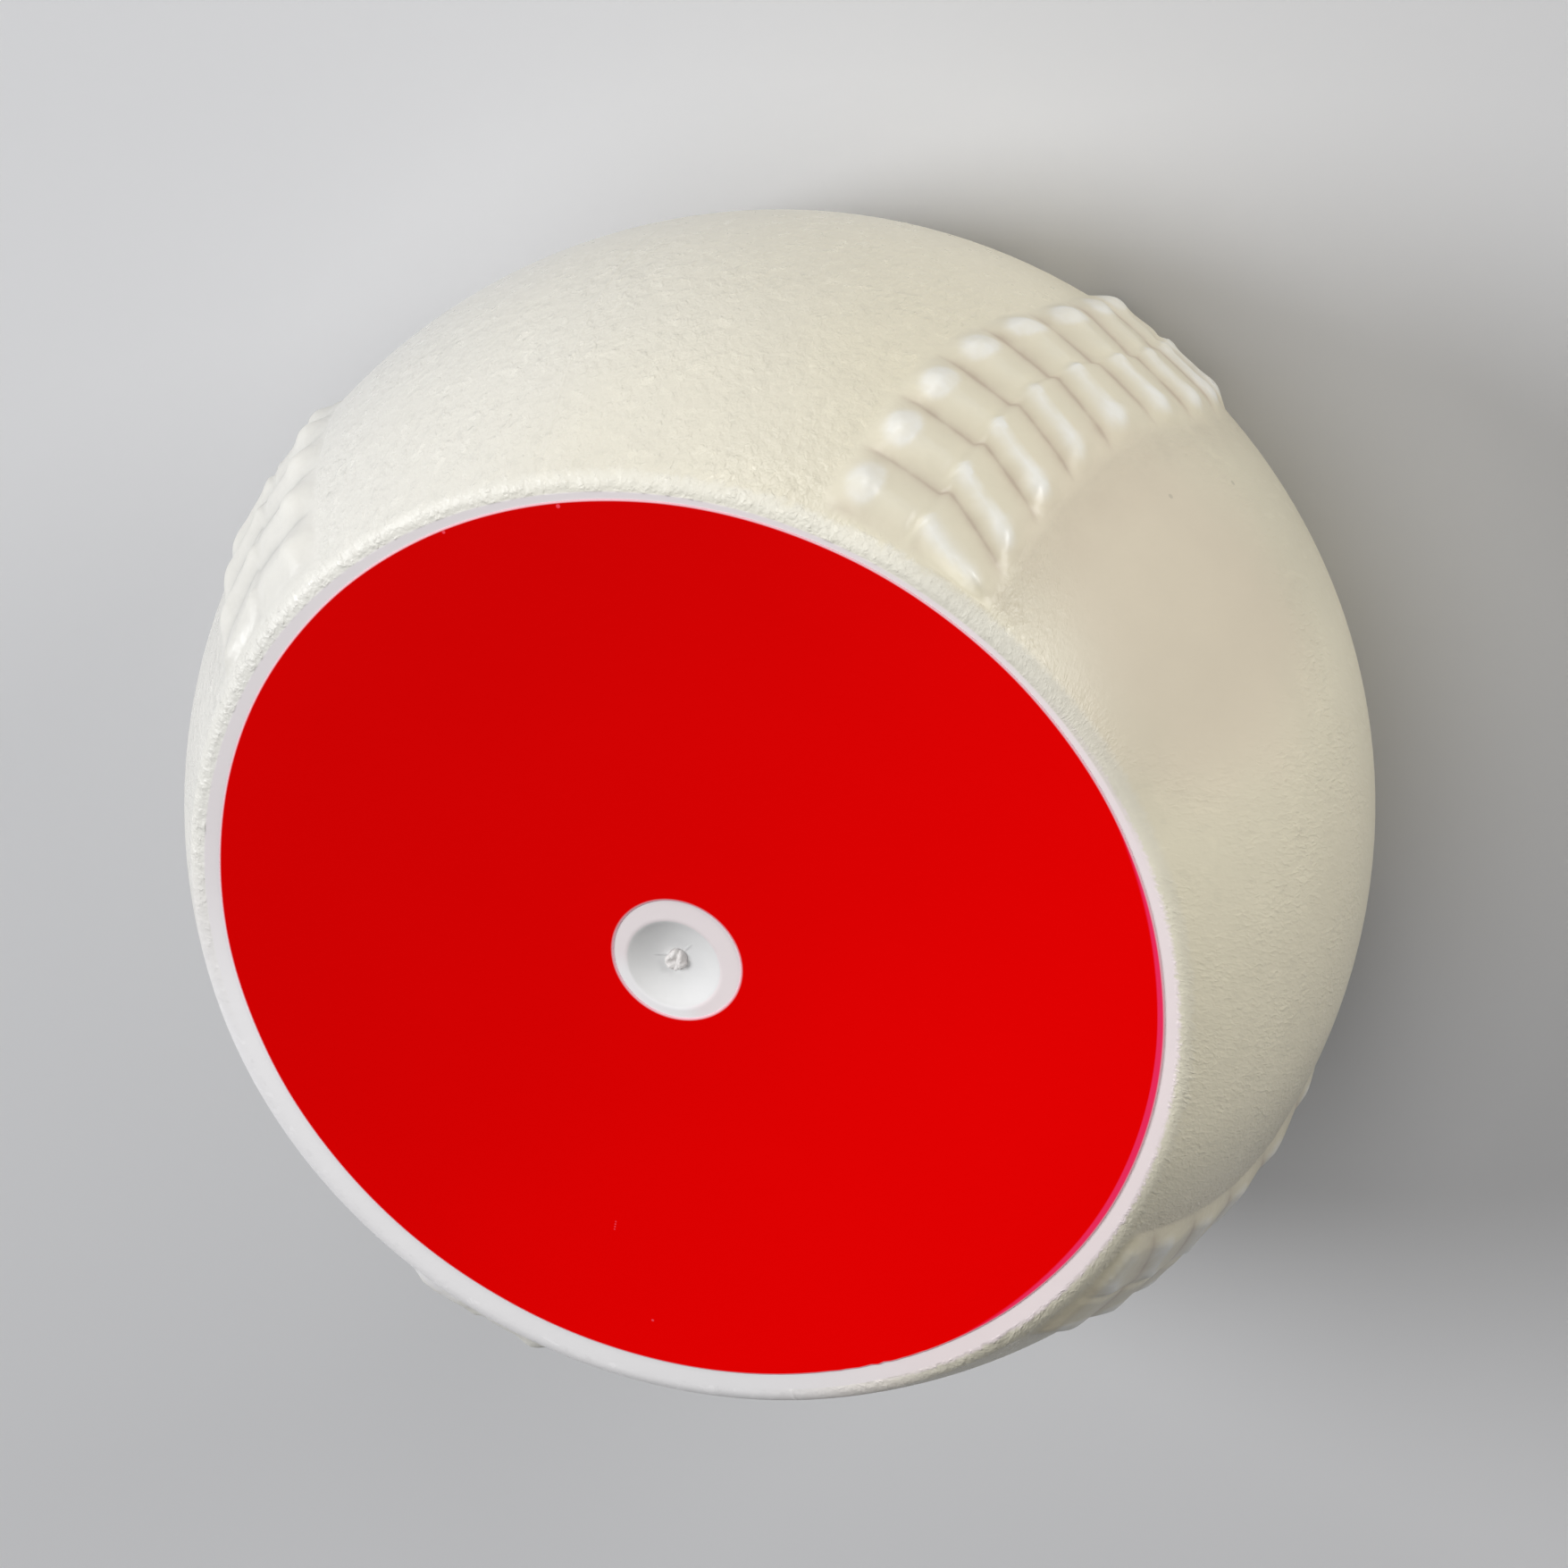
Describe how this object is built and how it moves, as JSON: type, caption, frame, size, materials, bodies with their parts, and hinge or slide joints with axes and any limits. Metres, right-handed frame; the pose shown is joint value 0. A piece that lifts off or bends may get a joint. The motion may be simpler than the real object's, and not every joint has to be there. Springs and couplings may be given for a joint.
{
  "type": "flat-sided training baseball",
  "caption": "Baseball-sized throwing ball with two flat faces, raised moulded seams round its side, a core inside its cover and a round red label on each flat face.",
  "frame": {"origin": "middle of the rear label's underside, where the ball rests on a surface", "axes": "+Z along the ball's axis, square to both flat faces, towards the front face; +X and +Y each point at a seam crossing on the middle of the round side"},
  "size_m": [0.074, 0.074, 0.0414],
  "materials": {
    "core": "plain off-white moulding",
    "cover": "cream moulded elastomer with a fine leather grain",
    "label": "red satin vinyl film"
  },
  "bodies": {
    "root": {"core": "core", "cover": "cover", "front_label": "label", "rear_label": "label"}
  },
  "joints": []
}
